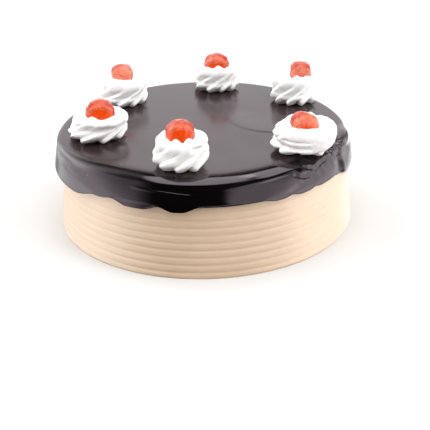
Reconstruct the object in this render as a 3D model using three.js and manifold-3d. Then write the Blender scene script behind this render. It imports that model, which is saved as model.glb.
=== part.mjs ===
// An uncut round cake: a tapering body with a combed cream side, a poured chocolate glaze that sags
// into a broad shoulder at the front and hangs over the edge in drips, and six piped swirls of
// cream that each hold a cherry.
// Millimetres, +Z up, origin under the middle of the cake. Angles are in degrees round from the
// front (-Y) and grow towards the right (+X).

import * as THREE from "three";
import { mergeVertices } from "three/addons/utils/BufferGeometryUtils.js";
import Module from "manifold-3d";

// Clear gap between pieces that touch, and the distance at which vertices count as one
const FIT_GAP = 0.3;
const SAME_POINT = 1e-4;

// Cake body
const BODY_OFFSET = 1.05;
const BODY_BASE_RADIUS = 100;
const BODY_TAPER = 0.082;
const BODY_TOP = 57.6;
const BODY_BEVEL = { width: 12, height: 7.2 };
const BODY_SEGMENTS = 48;
const COMB_FIRST_GROOVE = 4;
const COMB_PITCH = 4.97;
const COMB_GROOVES = 9;
const COMB_DEPTH = 0.35;
const COMB_HALF_WIDTH = 1.3;

// Glaze, which was poured a little to the left of the body. Its shoulder is broad at the front and
// narrow beyond the turn.
const GLAZE_OFFSET = -0.85;
const GLAZE_TOP = 62;
const GLAZE_SEGMENTS = 96;
const SHOULDER_TURN = { from: 28, to: 84 };
const LIP_RISE = 0.6;
const EDGE_HEIGHT = 48.9;

// Outline of the glaze as radius and height, at the front and at the sides. The heights of the lip
// stand on the lower edge.
const LIP_ROWS = [
  { front: [98.6, 0], side: [99, 0] },
  { front: [99.35, 0.8], side: [100.2, 1.7] },
  { front: [99.2, 1.1], side: [100, 3.4] },
];
const SHOULDER_ROWS = [
  { front: [97.3, 51.5], side: [98.95, 55.6] },
  { front: [94, 54], side: [98.8, 58.5] },
  { front: [90, 56.78], side: [98, 60.5] },
  { front: [86.4, 59.1], side: [96.3, 61.77] },
  { front: [82, 60.95], side: [90.5, 61.96] },
  { front: [77, 61.855], side: [81, 61.985] },
  { front: [72, GLAZE_TOP], side: [72, GLAZE_TOP] },
];

// Drips of the lower edge: middle, half of the level part, run-out on each side, and hang
const DRIPS = [
  { at: -75, half: 17, soft: 18, hang: 6.2 },
  { at: -43, half: 1, soft: 6, hang: 1.4 },
  { at: -26, half: 3, soft: 7, hang: 3 },
  { at: -9.5, half: 1.5, soft: 6.5, hang: 3.4 },
  { at: 29, half: 1, soft: 6, hang: 1.6 },
  { at: 41, half: 1.5, soft: 7, hang: 2.1 },
  { at: 55, half: 5, soft: 7, hang: 2.2 },
  { at: 64, half: 1, soft: 9, hang: 3.4 },
  { at: 78, half: 3, soft: 14, hang: 9.7 },
  { at: 106, half: 3, soft: 9, hang: 4 },
  { at: 128, half: 2, soft: 8, hang: 2.4 },
  { at: 151, half: 4, soft: 9, hang: 4.6 },
  { at: 176, half: 2, soft: 8, hang: 2 },
  { at: -161, half: 3, soft: 9, hang: 4.2 },
  { at: -136, half: 2, soft: 7, hang: 2.6 },
  { at: -116, half: 4, soft: 9, hang: 4.8 },
];

// The thickest drip stands out from the wall: middle, how far, and its level part and run-out on
// each side. It fades between two radii towards the top.
const THICK_DRIP = {
  at: 81.5, out: 2.2, fadeFrom: 88, fadeTo: 98,
  left: { half: 0.5, soft: 15 }, right: { half: 0.5, soft: 11 },
};

// Piped swirls: middle, widest radius and height, how full the top is, the angle of the first
// ridge, the turn of the ridges from foot to rim, and the side to which the upper coil leans.
// Brims raise the rim on one side. A swirl with a smooth side loses its ridges towards it.
const SWIRL_RIDGES = 9;
const SEGMENTS_PER_RIDGE = 4;
const SWIRLS = [
  {
    place: "front_mid", x: -14.6, y: -61, radius: 19.5, height: 20.6, full: 0.93,
    start: -5, twist: 70, tip: 200, brims: [],
  },
  {
    place: "front_left", x: -69.6, y: -7, radius: 20.5, height: 16.6, full: 1,
    start: 15, twist: 80, tip: 60, brims: [{ side: -108, half: 36, rise: 5 }],
  },
  {
    place: "back_left", x: -56.4, y: 58, radius: 19.3, height: 19, full: 0.94,
    start: 27, twist: 76, tip: 130, brims: [{ side: -5, half: 30, rise: 1.2 }],
  },
  {
    place: "back_mid", x: 11, y: 82, radius: 17.6, height: 18, full: 0.92,
    start: 9, twist: 70, tip: 20, brims: [{ side: 4, half: 14, rise: 1.8 }],
  },
  {
    place: "back_right", x: 65, y: 51.5, radius: 17.2, height: 20, full: 0.92,
    start: 20, twist: 72, tip: 250, brims: [],
  },
  {
    place: "front_right", x: 66.4, y: -39.2, radius: 21.8, height: 18, full: 1,
    start: 27, twist: 60, tip: 150, brims: [{ side: -80, half: 15, rise: 1.2 }], smooth: 45,
  },
];
const SMOOTH_SHARE = 0.92;
const SMOOTH_FROM = 75;
const SMOOTH_TO = 115;
const TWIST_FROM = 0.06;
const TWIST_TO = 0.96;
const CROWN_FROM = 0.45;
const CROWN_TO = 0.8;
const CROWN_RIDGE_SHARE = 0.5;
const RIM_PEAK = 0.15;

// Outline of a swirl from foot to rim and down into its hollow crown: share of the radius, share of
// the height, share of the radius that the ridges take up, share of the height by which the upper
// coil leans, and share of the height by which the ridges stand up at the rim
const SWIRL_ROWS = [
  { out: 0, up: 0, ridge: 0, lean: 0, peak: 0 },
  { out: 0.69, up: 0, ridge: 0.14, lean: 0, peak: 0 },
  { out: 0.79, up: 0.05, ridge: 0.19, lean: 0, peak: 0 },
  { out: 0.9, up: 0.17, ridge: 0.18, lean: 0, peak: 0 },
  { out: 0.94, up: 0.33, ridge: 0.14, lean: 0.02, peak: 0 },
  { out: 0.9, up: 0.5, ridge: 0.115, lean: 0.035, peak: 0 },
  { out: 0.885, up: 0.6, ridge: 0.1, lean: 0.04, peak: 0 },
  { out: 0.9, up: 0.75, ridge: 0.095, lean: 0.04, peak: 0 },
  { out: 0.84, up: 0.92, ridge: 0.09, lean: 0.02, peak: 0.05 },
  { out: 0.74, up: 0.98, ridge: 0.085, lean: 0.01, peak: 0.1 },
  { out: 0.61, up: 1, ridge: 0.07, lean: 0, peak: RIM_PEAK },
  { out: 0.45, up: 0.9, ridge: 0.03, lean: 0, peak: 0.06 },
  { out: 0, up: 0.7, ridge: 0, lean: 0, peak: 0 },
];

// Cherries: radius, middle above the glaze, sideways shift, flattening, squareness (2 is round),
// number and depth of the soft lobes round them, the turn of the lobes, and the lean to the right
const CHERRY_AROUND = 14;
const CHERRY_RINGS = 8;
const CHERRIES = {
  front_mid: {
    radius: 9.3, lift: 22, shift: 0.2, flat: 0.88, square: 2.2, lobes: 3, depth: 0.03, turn: 20, lean: 0,
  },
  front_left: {
    radius: 9.5, lift: 17.1, shift: 1, flat: 0.9, square: 2.1, lobes: 3, depth: 0.07, turn: -140, lean: -10,
  },
  back_left: {
    radius: 7.8, lift: 21.3, shift: 0.6, flat: 0.8, square: 2.3, lobes: 3, depth: 0.1, turn: 100, lean: 16,
  },
  back_mid: {
    radius: 9.2, lift: 18.7, shift: 0.6, flat: 0.76, square: 2.2, lobes: 2, depth: 0.06, turn: 90, lean: 0,
  },
  back_right: {
    radius: 7, lift: 20.9, shift: 5.6, flat: 0.92, square: 3.6, lobes: 4, depth: 0.04, turn: 0, lean: 4,
  },
  front_right: {
    radius: 9.1, lift: 17.3, shift: -0.4, flat: 0.78, square: 2.2, lobes: 2, depth: 0.06, turn: 90, lean: 15,
  },
};

const { Manifold, Mesh: SolidMesh } = await startSolids();

async function startSolids() {
  const solids = await Module();
  solids.setup();
  return solids;
}

function smoothstep(from, to, value) {
  const share = THREE.MathUtils.clamp((value - from) / (to - from), 0, 1);
  return share * share * (3 - 2 * share);
}

// Shortest signed turn from one angle to another
function turnFrom(angle, origin) {
  return THREE.MathUtils.euclideanModulo(angle - origin + 180, 360) - 180;
}

// 1 within half of the middle, easing to 0 over soft
function hump(away, half, soft) {
  return 1 - smoothstep(half, half + soft, Math.abs(away));
}

// Turns a list of rows about the upright axis. place(row, angle) gives each vertex its angle,
// radius, height and, where a ring isn't centred on the axis, its sideways offset.
function turned(rows, segments, place) {
  const outline = rows.map((_, index) => new THREE.Vector2(1, index));
  const geometry = new THREE.LatheGeometry(outline, segments);
  const position = geometry.getAttribute("position");
  for (let index = 0; index < position.count; index += 1) {
    const row = rows[index % rows.length];
    const segment = Math.floor(index / rows.length) % segments;
    const at = place(row, (360 * segment) / segments);
    const angle = THREE.MathUtils.degToRad(at.angle);
    const x = at.radius * Math.sin(angle) + (at.offset ?? 0);
    position.setXYZ(index, x, -at.radius * Math.cos(angle), at.height);
  }
  return closed(geometry);
}

// Bare positions with shared vertices, so that the surface is closed at its seam and poles
function closed(geometry) {
  const bare = new THREE.BufferGeometry();
  bare.setAttribute("position", geometry.getAttribute("position"));
  bare.setIndex(geometry.getIndex());
  return mergeVertices(bare, SAME_POINT);
}

function toSolid(geometry) {
  const triangles = Array.from(geometry.getIndex().array);
  const kept = [];
  for (let first = 0; first < triangles.length; first += 3) {
    const [a, b, c] = triangles.slice(first, first + 3);
    if (a !== b && b !== c && c !== a) kept.push(a, b, c);
  }
  const vertProperties = new Float32Array(geometry.getAttribute("position").array);
  return new Manifold(new SolidMesh({ numProp: 3, vertProperties, triVerts: new Uint32Array(kept) }));
}

function toGeometry(solid) {
  const mesh = solid.getMesh();
  const geometry = new THREE.BufferGeometry();
  geometry.setAttribute("position", new THREE.BufferAttribute(mesh.vertProperties, mesh.numProp));
  geometry.setIndex(new THREE.BufferAttribute(mesh.triVerts, 1));
  return geometry;
}

function bodyRadius(height) {
  return BODY_BASE_RADIUS - BODY_TAPER * height;
}

// The body is solid. Shallow grooves part the broad bands of its combed side, and its top edge is
// bevelled under the glaze.
function bodyGeometry() {
  const edge = BODY_TOP - BODY_BEVEL.height;
  const rows = [{ radius: 0, height: 0 }, { radius: bodyRadius(0), height: 0 }];
  for (let groove = 0; groove < COMB_GROOVES; groove += 1) {
    const middle = COMB_FIRST_GROOVE + groove * COMB_PITCH;
    for (const side of [-1, 0, 1]) {
      const height = middle + side * COMB_HALF_WIDTH;
      const depth = side === 0 ? COMB_DEPTH : 0;
      rows.push({ radius: bodyRadius(height) - depth, height });
    }
  }
  rows.push({ radius: bodyRadius(edge), height: edge });
  rows.push({ radius: bodyRadius(edge) - BODY_BEVEL.width, height: BODY_TOP });
  rows.push({ radius: 0, height: BODY_TOP });
  return turned(rows, BODY_SEGMENTS, (row, angle) => ({ ...row, angle, offset: BODY_OFFSET }));
}

// Height of the glaze's lower edge: each drip pulls the level edge down
function edgeHeight(angle) {
  const hangs = DRIPS.map((drip) => drip.hang * hump(turnFrom(angle, drip.at), drip.half, drip.soft));
  return EDGE_HEIGHT - Math.max(...hangs);
}

// How far the thickest drip pushes the wall of the glaze out
function thickDrip(angle, radius) {
  const turn = turnFrom(angle, THICK_DRIP.at);
  const side = turn < 0 ? THICK_DRIP.left : THICK_DRIP.right;
  const fade = smoothstep(THICK_DRIP.fadeFrom, THICK_DRIP.fadeTo, radius);
  return THICK_DRIP.out * hump(turn, side.half, side.soft) * fade;
}

// The glaze is a cap: an inner face that follows the body, a lip that bulges over the lower edge
// and flares with the body where it hangs low, and a shoulder that is broadest at the front.
function glazeGeometry() {
  const under = BODY_TOP + FIT_GAP;
  const innerEdge = under - BODY_BEVEL.height;
  const inner = (height) => bodyRadius(height) + FIT_GAP;
  const rows = [
    { radius: 0, height: under },
    { radius: inner(innerEdge) - BODY_BEVEL.width, height: under },
    { radius: inner(innerEdge), height: innerEdge },
    { aboveEdge: LIP_RISE },
    ...LIP_ROWS.map((row) => ({ ...row, onEdge: true })),
    ...SHOULDER_ROWS,
    { front: [0, GLAZE_TOP], side: [0, GLAZE_TOP] },
  ];
  return turned(rows, GLAZE_SEGMENTS, (row, angle) => {
    if (row.aboveEdge !== undefined) {
      const height = edgeHeight(angle) + row.aboveEdge;
      return { angle, radius: inner(height), height, offset: BODY_OFFSET };
    }
    if (row.front === undefined) return { ...row, angle, offset: BODY_OFFSET };
    const turn = smoothstep(SHOULDER_TURN.from, SHOULDER_TURN.to, Math.abs(turnFrom(angle, 0)));
    const edge = edgeHeight(angle);
    const flare = row.onEdge ? BODY_TAPER * (EDGE_HEIGHT - edge) : 0;
    const radius = THREE.MathUtils.lerp(row.front[0], row.side[0], turn) + flare;
    const rise = THREE.MathUtils.lerp(row.front[1], row.side[1], turn);
    const height = row.onEdge ? edge + rise : rise;
    return { angle, radius: radius + thickDrip(angle, radius), height, offset: GLAZE_OFFSET };
  });
}

// A piped swirl: two coils of a ridged rope of cream, the upper one leaning. The ridges have
// sharp crests and hollow flanks, and they turn as they climb.
function swirlGeometry(swirl) {
  const segments = SWIRL_RIDGES * SEGMENTS_PER_RIDGE;
  return turned(SWIRL_ROWS, segments, (row, angle) => {
    const phase = THREE.MathUtils.degToRad(angle * SWIRL_RIDGES);
    const crown = smoothstep(CROWN_FROM, CROWN_TO, row.up);
    let relief = (0.5 - Math.abs(Math.sin(phase / 2))) * THREE.MathUtils.lerp(1, CROWN_RIDGE_SHARE, crown);
    const turnedTo = angle + swirl.start + swirl.twist * smoothstep(TWIST_FROM, TWIST_TO, row.up);
    const tilt = Math.cos(THREE.MathUtils.degToRad(turnedTo - swirl.tip));
    if (swirl.smooth !== undefined) {
      const away = turnFrom(turnedTo, swirl.smooth);
      relief *= 1 - SMOOTH_SHARE * hump(away, SMOOTH_FROM, SMOOTH_TO - SMOOTH_FROM);
    }
    const out = row.out * THREE.MathUtils.lerp(1, swirl.full, row.up);
    let height = swirl.height * (row.up + row.lean * tilt + row.peak * relief);
    for (const brim of swirl.brims) {
      height += ((brim.rise * row.peak) / RIM_PEAK) * hump(turnFrom(turnedTo, brim.side), 0, 2 * brim.half);
    }
    return { angle: turnedTo, radius: swirl.radius * (out + row.ridge * relief), height };
  });
}

// A candied cherry, a rounded block with soft lobes, grown by a margin where it cuts its seat
function cherryGeometry(cherry, margin) {
  const geometry = new THREE.SphereGeometry(1, CHERRY_AROUND, CHERRY_RINGS);
  geometry.rotateX(Math.PI / 2);
  const position = geometry.getAttribute("position");
  const turn = THREE.MathUtils.degToRad(cherry.turn);
  for (let index = 0; index < position.count; index += 1) {
    const way = new THREE.Vector3().fromBufferAttribute(position, index);
    const around = Math.atan2(way.x, -way.y);
    const girth = way.x * way.x + way.y * way.y;
    const swell = 1 + cherry.depth * Math.cos(cherry.lobes * around - turn) * girth;
    const powers = way.toArray().map((part) => Math.abs(part) ** cherry.square);
    const block = (powers[0] + powers[1] + powers[2]) ** (-1 / cherry.square);
    way.multiplyScalar(cherry.radius * block * swell + margin);
    position.setXYZ(index, way.x, way.y, way.z * cherry.flat);
  }
  geometry.rotateY(THREE.MathUtils.degToRad(cherry.lean));
  geometry.translate(cherry.shift, 0, cherry.lift);
  return closed(geometry);
}

function addPiece(parent, name, geometry, look) {
  const mesh = new THREE.Mesh(geometry, new THREE.MeshStandardMaterial(look));
  mesh.name = name;
  parent.add(mesh);
}

const cake = new THREE.Group();
cake.name = "chocolate_mousse_cake";
const coffeeCream = { color: 0xe2c4a0, roughness: 0.6, metalness: 0 };
const darkChocolate = { color: 0x1c1314, roughness: 0.08, metalness: 0 };
const whippedCream = { color: 0xf7f3f0, roughness: 0.7, metalness: 0 };
const candiedRed = { color: 0xe2441f, roughness: 0.15, metalness: 0 };

addPiece(cake, "cake_body", bodyGeometry(), coffeeCream);
addPiece(cake, "chocolate_glaze", glazeGeometry(), darkChocolate);
for (const swirl of SWIRLS) {
  const topping = new THREE.Group();
  topping.position.set(swirl.x, swirl.y, GLAZE_TOP + FIT_GAP);
  const cherry = CHERRIES[swirl.place];
  const seat = toSolid(cherryGeometry(cherry, FIT_GAP));
  const cream = toSolid(swirlGeometry(swirl)).subtract(seat);
  addPiece(topping, `rosette_${swirl.place}`, toGeometry(cream), whippedCream);
  addPiece(topping, `cherry_${swirl.place}`, cherryGeometry(cherry, 0), candiedRed);
  cake.add(topping);
}

export default cake;
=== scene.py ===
import math

import bpy
import numpy as np
from bpy.props import FloatProperty, FloatVectorProperty, PointerProperty
from mathutils import Matrix, Vector


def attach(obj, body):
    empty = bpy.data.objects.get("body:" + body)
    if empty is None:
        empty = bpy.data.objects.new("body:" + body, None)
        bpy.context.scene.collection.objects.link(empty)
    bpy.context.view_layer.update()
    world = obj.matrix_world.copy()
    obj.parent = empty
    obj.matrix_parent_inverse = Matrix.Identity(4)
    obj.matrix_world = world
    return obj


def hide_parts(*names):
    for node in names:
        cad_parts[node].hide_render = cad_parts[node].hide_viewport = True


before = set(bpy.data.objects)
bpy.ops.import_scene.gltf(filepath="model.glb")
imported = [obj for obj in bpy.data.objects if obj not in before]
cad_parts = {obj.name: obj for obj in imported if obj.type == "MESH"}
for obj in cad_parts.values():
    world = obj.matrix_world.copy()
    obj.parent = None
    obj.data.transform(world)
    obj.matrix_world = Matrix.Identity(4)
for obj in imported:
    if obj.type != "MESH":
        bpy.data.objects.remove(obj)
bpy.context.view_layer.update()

bl_info = {
    "name": "Glazed mousse cake",
    "version": (1, 0, 0),
    "blender": (4, 5, 0),
    "location": "3D View > Sidebar > Cake",
    "description": "A round cake with a combed cream side, a poured glaze, piped swirls and cherries",
    "category": "Add Mesh",
}

# Shapes are worked out in millimetres and handed to Blender in metres. Angles are in degrees round
# from the front (-Y) and grow towards the right (+X).
MM = 0.001
SEED = 20
WAVES_PER_SIZE = 3

# Cake body: offset to the right, top, width and height of the bevel round the top, steps round, and rings
# of the base and the top
BODY_OFFSET = 1.05
BODY_TOP = 57.6
BODY_BEVEL_WIDTH = 12.0
BODY_BEVEL_HEIGHT = 7.2
BODY_SEGMENTS = 360
BODY_BASE_RINGS = (0.0, 30.0, 60.0, 85.0, 95.0)
BODY_TOP_RINGS = (60.0, 30.0, 0.0)
# The foot is rounded: inset of its lowest ring, heights of its rows, and inset and height of the rounding
FOOT_INSET = 0.35
FOOT_ROWS = (0.25, 0.6, 1.2)
FOOT_ROUND = (0.3, 1.2)
# Least step from the highest row of the side to the edge of the top
LAST_STEP = 0.1
# Unevenness of the side: size, and the lengths of its waves
SIDE_UNEVEN = 0.05
SIDE_UNEVEN_SIZES = (23.0, 9.0, 4.0)

# Comb lines of the side: height of the first groove, spacing and number, rows for each, and how narrow the
# grooves are
COMB_FIRST_GROOVE = 4.0
COMB_PITCH = 4.97
COMB_GROOVES = 9
COMB_ROWS = 14
COMB_SHARPNESS = 2.4
# Share of the pitch below the first groove at which the lines end
COMB_END = 0.55
# Waves round the cake by which the lines wander and are pressed deeper: size, count, start, climb with
# the height; the wandering grows between two heights
COMB_WANDER = [(0.1, 2, 1.0, 0.0), (0.05, 5, 0.0, 0.2)]
COMB_PRESS = [(0.1, 3, 0.0, 0.4), (0.06, 11, 0.0, 1.0)]
COMB_WANDER_HEIGHTS = (1.0, 5.0)
# The lines were pressed more lightly at the right and the left of the front: share and angles, and the
# angles over which they come back
COMB_LIGHT_RIGHT = (0.8, 8.0, 40.0)
COMB_LIGHT_LEFT = (0.5, 12.0, 50.0)
COMB_BACK_AGAIN = (65.0, 100.0)

# Glaze: offset to the right, top and underside, gap between pieces that touch, angles over which the broad
# shoulder of the front turns into the steep wall of the sides, height of the lower edge between drips
GLAZE_OFFSET = -0.85
GLAZE_TOP = 62.0
GLAZE_UNDER = 57.9
FIT_GAP = 0.3
SHOULDER_TURN = (28.0, 84.0)
EDGE_HEIGHT = 48.9
# Steps round the glaze, the fine steps by which they are spaced, and places where they are closer
# together: middle, half-width, run-out, how much
GLAZE_SEGMENTS = 600
GLAZE_FINE_STEPS = 7200
GLAZE_CLOSER = [(62.0, 22.0, 8.0, 1.6), (-50.0, 16.0, 8.0, 0.8)]
# Rings of the inner face and of the flat top, steps for each span of the outline, and the shares down
# the inner face of the wall, which ends a little above the lower edge
GLAZE_UNDER_RINGS = (0.0, 40.0, 80.0)
GLAZE_TOP_RINGS = np.concatenate([np.linspace(70.5, 5.0, 44), [2.5, 0.0]])
GLAZE_PER_SPAN = 5
INNER_SHARES = (0.0, 0.33, 0.66, 1.0)
INNER_END = 0.6
# Path lengths on the shoulder for a degree round and for a millimetre of height
MM_PER_DEGREE = 1.7
SHOULDER_STRETCH = 1.6
# Drips of the lower edge: middle, half of the level part, run-out on each side, hang
DRIPS = [
    (-75, 17, 18, 6.2), (-43, 1, 6, 1.4), (-26, 3, 7, 3.0), (-9.5, 1.5, 6.5, 3.4),
    (29, 1, 6, 1.6), (41, 1.5, 7, 2.1), (55, 5, 7, 2.2), (64, 1, 9, 3.4), (78, 3, 14, 9.7),
    (106, 3, 9, 4.0), (128, 2, 8, 2.4), (151, 4, 9, 4.6), (176, 2, 8, 2.0), (-161, 3, 9, 4.2),
    (-136, 2, 7, 2.6), (-116, 4, 9, 4.8),
]

# Outline of the glaze from its lip to its flat top, at the front and at the sides: radius and height;
# the first rows stand on the lower edge
LIP_ROWS = [
    ((98.6, 0.05), (99.0, 0.05)), ((99.2, 0.4), (99.9, 0.6)),
    ((99.35, 0.8), (100.2, 1.7)), ((99.2, 1.1), (100.0, 3.4)),
]
SHOULDER_ROWS = [
    ((98.6, 50.35), (99.2, 53.9)), ((97.3, 51.5), (98.95, 55.6)), ((95.8, 52.68), (98.9, 57.4)),
    ((94.0, 54.0), (98.8, 58.5)), ((92.0, 55.42), (98.5, 59.6)), ((90.0, 56.78), (98.0, 60.5)),
    ((88.0, 58.1), (97.5, 61.1)), ((87.1, 58.69), (97.0, 61.5)), ((86.4, 59.1), (96.3, 61.77)),
    ((85.0, 59.78), (95.0, 61.9)), ((83.5, 60.42), (93.0, 61.95)), ((82.0, 60.95), (90.5, 61.96)),
    ((80.5, 61.35), (88.0, 61.97)), ((79.0, 61.63), (85.0, 61.98)), ((77.0, 61.855), (81.0, 61.985)),
    ((75.0, 61.96), (77.0, 61.99)), ((72.0, 62.0), (72.0, 62.0)),
]
# Unevenness of the pour, and more of it on the wall: size, lengths of its waves, radii where it grows
POUR_UNEVEN = (0.1, (46.0, 27.0), (8.0, 30.0))
WALL_UNEVEN = (0.1, (30.0, 17.0), (95.0, 98.0))
# Thick drip that fell at the right: angles of the step at its left side, of its swell and of its end, the
# step's share, thickness at the shoulder and its gain down the wall, heights of the gain and of the foot,
# radii where it grows out of the shoulder, and its waist as height, half-width and depth
THICK_DRIP = dict(
    step=(66.0, 67.6), swell=(66.0, 81.0), end=(82.0, 93.0), step_share=0.3, thick=1.5, gain=1.1,
    gain_heights=(52.0, 58.0), foot_heights=(38.0, 46.0), radii=(88.0, 98.0), waist=(57.8, 1.2, 0.5),
)
# Waist of the wall at the left: middle, half-width and run-out round, height, half-width and depth, radii
LEFT_WAIST = dict(at=-86.0, half=6.0, soft=22.0, height=57.3, tall=1.7, deep=1.5, radii=(92.0, 96.0))
# Bead on the front shoulder: angle, radius; the angles where it starts and ends, rise, half-width
BEAD = [(-30.0, 90.8), (-24.0, 91.2), (-16.0, 91.8), (-7.0, 92.8), (-2.0, 93.2)]
BEAD_START = (-31.0, -27.0)
BEAD_END = (-6.0, -2.0)
BEAD_RISE = 0.16
BEAD_HALF = 0.6
# Fold on the front shoulder that steps down below a line: angle, height; the angles where it starts and
# ends, radii, rise, and heights about the line where it steps up and runs out
FOLD = [(5.0, 56.4), (12.5, 56.5), (19.4, 56.9), (24.3, 57.1), (27.0, 57.3), (40.0, 57.8)]
FOLD_START = (4.0, 14.0)
FOLD_END = (28.0, 40.0)
FOLD_RADII = (80.0, 84.0)
FOLD_RISE = 0.24
FOLD_STEP = (-0.25, 0.25)
FOLD_FADE = (0.3, 2.6)
# Faint curl on the flat top, part of a ring: its middle and radius, the side, half-width and run-out of
# the part, rise, where it starts and drops about the ring, and the radius of the glaze that it keeps to
CURL = dict(
    x=52.0, y=26.0, radius=36.0, side=-135.0, half=35.0, soft=30.0, rise=0.2, start=(-30.0, -4.0),
    drop=(-1.5, 1.5), within=70.0,
)
# Wrinkles in front of the thick drip: middle, half-width and run-out round, radii and heights where they
# grow, rise, lengths of their waves
WRINKLES = dict(
    at=54.0, half=9.0, soft=7.0, radii=(84.0, 92.0), heights=(50.0, 55.0), rise=0.22, sizes=(9.0, 6.0),
)
# Dents where the glaze puckered or sank: depth, half-width, and the path as angle and height; a
# negative depth is a swelling
PUCKERS = [
    (0.7, 2.2, [(72.0, 61.4), (71.5, 60.6)]),
    (0.3, 1.1, [(66.5, 61.7), (63.0, 60.9), (61.4, 59.2)]),
    (0.4, 1.1, [(68.6, 61.2), (66.0, 60.4), (64.8, 58.5), (64.5, 55.2)]),
    (1.1, 1.6, [(68.4, 60.0), (66.4, 58.0), (65.0, 55.0), (65.4, 52.0), (66.0, 50.0)]),
    (0.35, 1.2, [(52.5, 57.6), (54.8, 58.3), (57.2, 58.6)]),
    (0.35, 1.2, [(48.4, 58.0), (49.2, 56.4)]),
    (0.3, 1.1, [(50.6, 57.3), (50.9, 57.0)]),
    (0.3, 1.0, [(54.5, 56.6), (54.9, 56.3)]),
    (0.3, 1.1, [(46.2, 58.3), (47.4, 57.5)]),
    (0.45, 1.3, [(45.8, 59.3), (46.2, 59.0)]),
    (0.3, 1.2, [(39.8, 56.6), (42.0, 55.0), (44.8, 54.7)]),
    (-0.35, 2.8, [(42.5, 57.0), (45.0, 56.6)]),
    (0.4, 0.6, [(-64.0, 55.0), (-63.7, 54.7)]),
    (0.18, 0.6, [(-52.0, 57.0), (-51.6, 56.7)]),
]
PUCKER_RADII = (80.0, 86.0)
# Middle of the torn glaze beside the thick drip, in metres
TORN_PLACE = (0.0895, -0.041, 0.0495)
# Distances from it at which the torn glaze is dullest and glossy again, and heights between which the
# glaze turns into its duller flat top with its painted lighter reflection, in metres
TORN_REACH = (0.003, 0.0075)
FLAT_HEIGHTS = (0.0613, 0.0619)

# Piped swirls: middle, radius, height, fullness of the top, ridges, angle of the first ridge, turn of
# the ridges from foot to rim, roundness of the ridges, depth of the ridges at the crown, side to which
# the upper coil leans, sideways shift of foot and crown. Folds are height share, width share, side,
# half-width and depth share; brims are side, half-width and rise in millimetres; teeth are lines on the
# outline: side, half-width, count and depth share; calm places are side, half-width, run-out and share.
SWIRLS = {
    "front_mid": dict(
        x=-14.6, y=-61.0, radius=19.5, height=20.6, full=0.93, ridges=9, start=-5, twist=70, puff=0.9,
        crown=0.5, tip=200, shift=(0.0, 1.0),
        folds=[(0.78, 0.07, 38, 5, 0.13), (0.7, 0.06, 95, 14, 0.06), (0.04, 0.2, 80, 22, 0.16)],
        brims=[(-18, 9, 1.0), (24, 9, 1.4), (-40, 8, -0.8), (3, 8, -0.8)], teeth=(-105, 25, 4.0, 0.02),
        calm=[(-100, 25, 25, 0.5), (95, 25, 25, 0.3)],
    ),
    "front_left": dict(
        x=-69.6, y=-7.0, radius=20.5, height=16.6, full=1.0, ridges=9, start=15, twist=80, puff=0.5,
        crown=0.35, tip=60, shift=(-1.0, 1.2),
        folds=[(0.6, 0.11, -8, 20, 0.13), (0.58, 0.07, 62, 20, 0.08)],
        brims=[(-22, 10, 1.4), (12, 9, -1.2), (-108, 36, 5.0)], teeth=(-105, 30, 4.5, 0.03),
        calm=[(-100, 30, 25, 0.6)],
    ),
    "back_left": dict(
        x=-56.4, y=58.0, radius=19.3, height=19.0, full=0.94, ridges=9, start=27, twist=76, puff=0.5,
        crown=0.4, tip=130, shift=(-0.8, 1.2), folds=[(0.42, 0.08, 10, 70, 0.05)], brims=[(-5, 30, 1.2)],
        teeth=(-100, 30, 4.0, 0.02), calm=[(-100, 25, 25, 0.4)],
    ),
    "back_mid": dict(
        x=11.0, y=82.0, radius=17.6, height=18.0, full=0.92, ridges=9, start=9, twist=70, puff=0.5,
        crown=0.4, tip=20, shift=(-0.3, 0.5), folds=[(0.42, 0.08, 0, 80, 0.05)], brims=[(4, 14, 1.8)],
        teeth=(-100, 30, 4.0, 0.02), calm=[(-100, 25, 25, 0.4)],
    ),
    "back_right": dict(
        x=65.0, y=51.5, radius=17.2, height=20.0, full=0.92, ridges=9, start=20, twist=72, puff=0.5,
        crown=0.4, tip=250, shift=(0.4, 0.0), folds=[(0.42, 0.08, -20, 70, 0.05)],
        brims=[(10, 8, 1.2), (-14, 7, -0.8)], teeth=(-100, 30, 4.0, 0.02), calm=[(-100, 25, 25, 0.4)],
    ),
    "front_right": dict(
        x=66.4, y=-39.2, radius=21.8, height=18.0, full=1.0, ridges=9, start=27, twist=60, puff=0.7,
        crown=1.0, tip=150, shift=(-0.9, 0.4), calm=[(45, 75, 40, 0.92), (-100, 20, 20, 0.6)],
        folds=[(0.66, 0.045, -24, 14, 0.05), (0.42, 0.08, -28, 18, 0.11), (0.03, 0.14, -14, 9, 0.18),
               (0.05, 0.1, 28, 2, -0.08), (0.1, 0.12, -52, 8, -0.06), (0.05, 0.2, 85, 30, 0.1)],
        brims=[(-10, 25, 0.6), (-80, 15, 1.2)], teeth=(-98, 18, 2.2, 0.15),
    ),
}
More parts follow.
